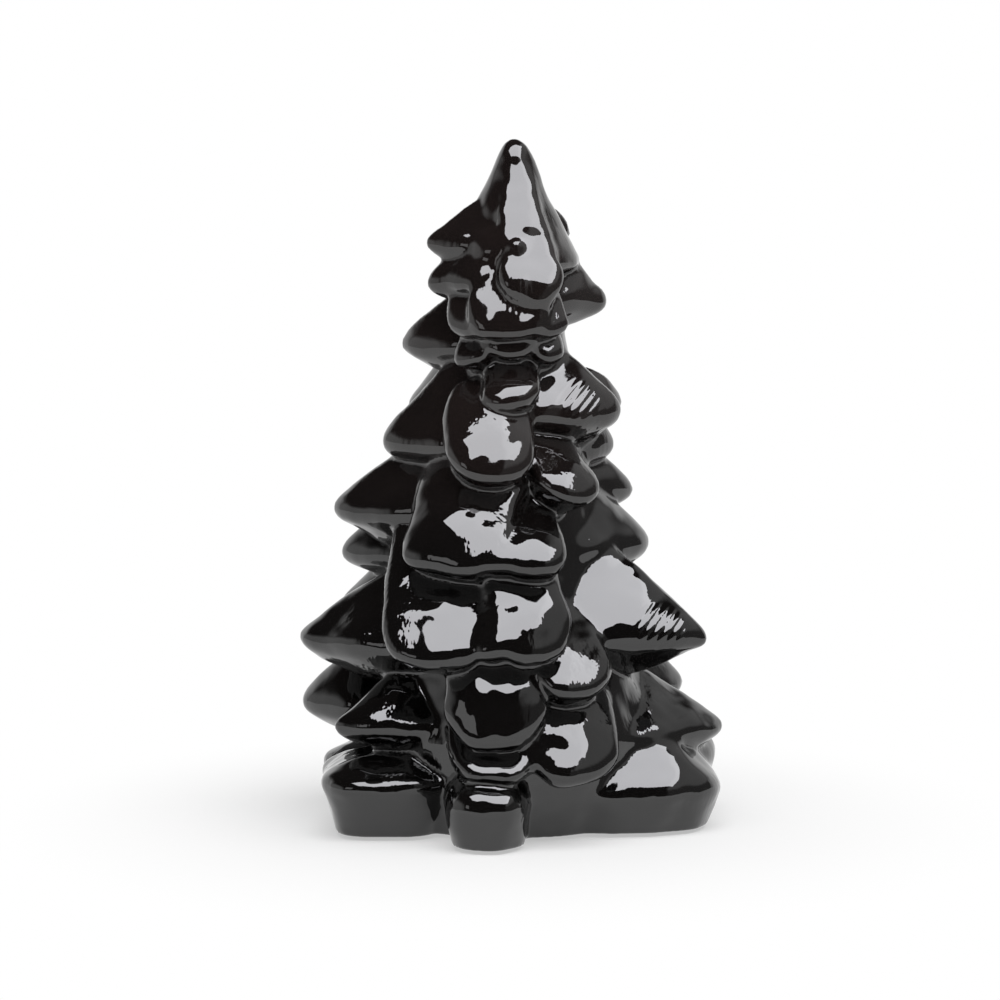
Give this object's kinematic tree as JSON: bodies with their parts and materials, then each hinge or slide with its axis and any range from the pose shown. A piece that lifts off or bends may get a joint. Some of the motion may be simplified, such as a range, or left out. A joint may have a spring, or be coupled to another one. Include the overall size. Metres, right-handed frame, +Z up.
{
  "type": "christmas tree figurine",
  "caption": "Solid black glass tree figurine with tiers of thick drooping boughs under a pointed spire, on a lobed foot with small felt dots beneath.",
  "frame": {"origin": "middle of the outline seen from above, on the surface that the felt dots stand on", "axes": "+Z up to the tip of the spire, -Y towards the viewer of the front, +X to the viewer's right"},
  "size_m": [0.09, 0.083, 0.14],
  "materials": {
    "black_glass": "fire-polished gloss, opaque black",
    "black_felt": "pressed felt"
  },
  "bodies": {
    "root": {"glass_tree": "black_glass", "felt_foot_front": "black_felt", "felt_foot_right": "black_felt", "felt_foot_left": "black_felt", "felt_foot_back": "black_felt"}
  },
  "joints": []
}
